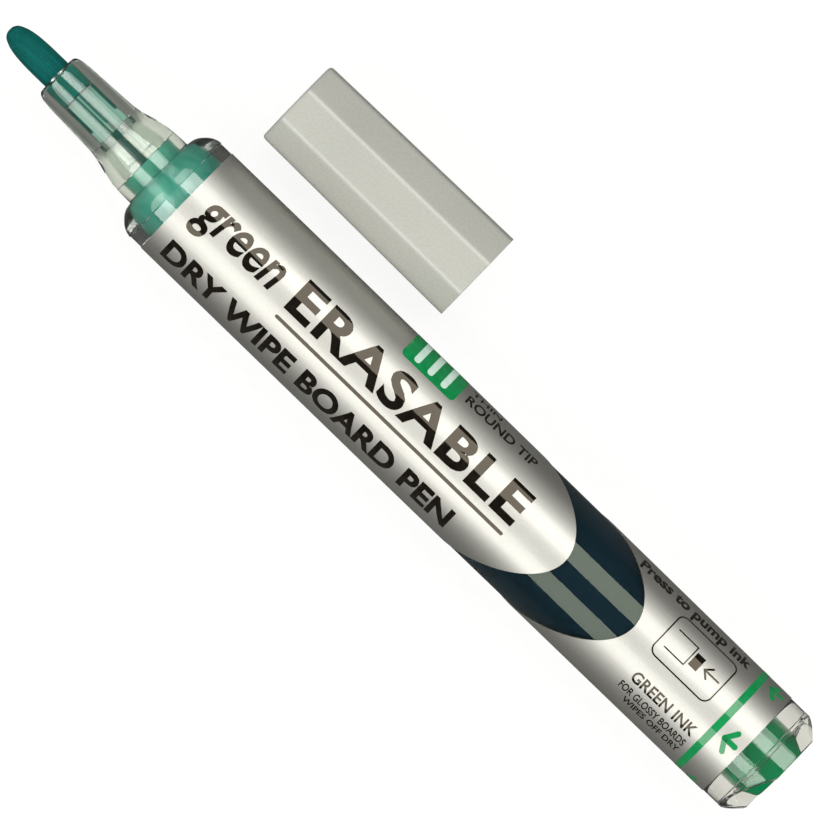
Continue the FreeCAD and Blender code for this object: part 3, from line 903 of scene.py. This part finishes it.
for u, r in bore:
    row = []
    for k in range(8):
        for j in range(n // 8):
            a = math.radians(22.5 + 45 * k + TURN - 22.5 + 45.0 * (j + 0.5) / (n // 8))
            row.append(len(verts))
            verts.append((X(u), (CAP_Y - r * math.sin(a)) * MM, (CAP_Z + r * math.cos(a)) * MM))
    rows.append(row)
for a, b in zip(rows, rows[1:]):
    for k in range(n):
        j = (k + 1) % n
        faces.append((a[k], b[k], b[j], a[j]))
faces.append(tuple(rows[0][::-1]))
faces.append(tuple(rows[-1]))
cap = make_object("cap_eight_sided", verts, faces, M_CAP, "cap", 22)
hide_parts("cap_shell")
ls = CU0 + 1.23
liner = lathe(
    "cap_liner",
    eased(
        [
            (ls, 0.0), (ls, 4.8), (ls + 0.45, 5.22), (ls + 20.5, 5.22), (ls + 21.0, 4.91), (ls + 21.0, 4.47),
            (ls + 20.1, 4.02), (ls + 1.2, 4.02), (ls + 0.8, 3.62), (ls + 0.8, 0.0),
        ], 0.12,
    ), M_SEAL, "cap", 128, y=CAP_Y, z=CAP_Z,
)
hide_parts("cap_inner_seal")

# ------------------------------------------------------------------ floor, light, camera
# Pale paper. The camera sees it nearly evenly lit. In the marker's gloss it is painted dim, a painted dark reflection
# that stands in for the dark cards round a product table. Through the clear parts it shows a painted glow, a pale
# ground that shines though it is no lamp.
m, nt, p = new_material("floor_paper")
g = noise(nt, coords(nt), 900.0, 3.0, 0.6)
lp = nt.nodes.new("ShaderNodeLightPath")
seen, gloss, through = lp.outputs["Is Camera Ray"], lp.outputs["Is Glossy Ray"], lp.outputs["Is Transmission Ray"]
paper = span(nt, g, 0.985, 1.0, 0.3, 0.7)
# albedo by ray: cut for camera rays, and cut for glossy rays as a painted dark reflection
albedo = mul(nt, mul(nt, mul(nt, seen, -0.43), mul(nt, gloss, -0.42), "ADD"), 0.50, "ADD")
grey = nt.nodes.new("ShaderNodeCombineColor")
for k, tone in enumerate((1.0, 0.998, 0.985)):
    nt.links.new(mul(nt, mul(nt, albedo, paper), tone), grey.inputs[k])
nt.links.new(grey.outputs[0], p.inputs["Base Color"])
# painted glow, seen only through the clear parts: dim under the nose, a bright band under the flare, dim again from the
# shoulder to the barrel's front, then lighter towards the tail
along = nt.nodes.new("ShaderNodeSeparateXYZ")
tex = nt.nodes.new("ShaderNodeTexCoord")
nt.links.new(tex.outputs["Object"], along.inputs[0])
painted_glow = ramp(nt, span(nt, along.outputs[0], 0.0, 1.0, X(8.0), X(128.0)),
            [(0.05, (0.10,) * 3), (0.09, (0.12,) * 3), (0.112, (0.70,) * 3), (0.133, (0.66,) * 3), (0.15, (0.20,) * 3),
             (0.165, (0.06,) * 3), (0.30, (0.06,) * 3), (1.0, (0.62,) * 3)])
glow = nt.nodes.new("ShaderNodeCombineColor")
# painted glow: floor emission that only transmission rays see
through = mul(nt, through, painted_glow)
for k, (white, cream) in enumerate(((1.0, 1.0), (0.998, 0.97), (0.99, 0.86))):
    nt.links.new(mul(nt, mul(nt, mul(nt, seen, 0.93 * white), mul(nt, through, cream), "ADD"), paper), glow.inputs[k])
nt.links.new(glow.outputs[0], p.inputs["Emission Color"])
p.inputs["Emission Strength"].default_value = 1.0
p.inputs["Roughness"].default_value = 0.9
p.inputs["Specular IOR Level"].default_value = 0.0
s = 1.6
floor = make_object("floor", [(-s, -s, FLOOR_Z), (s, -s, FLOOR_Z), (s, s, FLOOR_Z), (-s, s, FLOOR_Z)], [(0, 1, 2, 3)], m)


def strip_light(name, angle, spread, reach, length, radiance, colour, x=0.0):
    """A long soft box parallel to the marker, seen from it at `angle` degrees from the vertical (towards -Y)."""
    la = bpy.data.lights.new(name, "AREA")
    la.shape = "RECTANGLE"
    width = 2 * reach * math.tan(math.radians(spread / 2))
    la.size, la.size_y = length, width
    la.energy = radiance * math.pi * length * width
    la.color = colour
    ob = bpy.data.objects.new(name, la)
    bpy.context.scene.collection.objects.link(ob)
    a = math.radians(angle)
    d = Vector((0, -math.sin(a), math.cos(a)))
    ob.location = Vector((x, 0, 0)) + d * reach
    # local -Z looks at the marker, local X runs along the marker
    xa = Vector((1, 0, 0))
    za = d
    ya = za.cross(xa)
    ob.matrix_world = Matrix(((xa.x, ya.x, za.x, ob.location.x), (xa.y, ya.y, za.y, ob.location.y), (xa.z, ya.z, za.z, ob.location.z), (0, 0, 0, 1)))
    ob.visible_camera = False
    return ob


MID_X = X(70.0)
strip_light("soft_box_far", -29.65, 35.1, 1.0, 2.2, 4.5, (1.0, 0.99, 0.965), MID_X)
strip_light("soft_box_near", 41.1, 34.6, 1.0, 2.2, 4.2, (1.0, 0.99, 0.965), MID_X)

world = bpy.data.worlds.new("studio")
bpy.context.scene.world = world
world.use_nodes = True
bg = world.node_tree.nodes["Background"]
# dim all round, so that the gloss shows the soft boxes; pale behind the table and through the clear parts
wt = world.node_tree
lp = wt.nodes.new("ShaderNodeLightPath")
tone = mul(wt, mul(wt, lp.outputs["Is Camera Ray"], 0.87), mul(wt, lp.outputs["Is Transmission Ray"], 0.24), "ADD")
tone = mul(wt, tone, 0.075, "ADD")
sky = wt.nodes.new("ShaderNodeCombineColor")
for k, t in enumerate((1.0, 1.0, 0.97)):
    wt.links.new(mul(wt, tone, t), sky.inputs[k])
wt.links.new(sky.outputs[0], bg.inputs[0])
bg.inputs[1].default_value = 1.0

cam_data = bpy.data.cameras.new("camera")
cam = bpy.data.objects.new("camera", cam_data)
bpy.context.scene.collection.objects.link(cam)
bpy.context.scene.camera = cam
cam_data.sensor_width = 36.0
cam_data.lens = 36.0 * 2.6 / 0.1043
cam.location = (X(70.0), 0.93 * MM, 2.6)
cam.rotation_euler = (0, 0, math.radians(44.11))
cam_data.clip_start, cam_data.clip_end = 0.05, 10.0

scene = bpy.context.scene
scene.view_settings.view_transform = "Standard"
scene.view_settings.look = "None"
scene.cycles.max_bounces = 24
scene.cycles.transmission_bounces = 20
scene.cycles.glossy_bounces = 8
scene.cycles.diffuse_bounces = 4
scene.cycles.transparent_max_bounces = 12
scene.cycles.sample_clamp_indirect = 6.0
scene.cycles.blur_glossy = 0.3
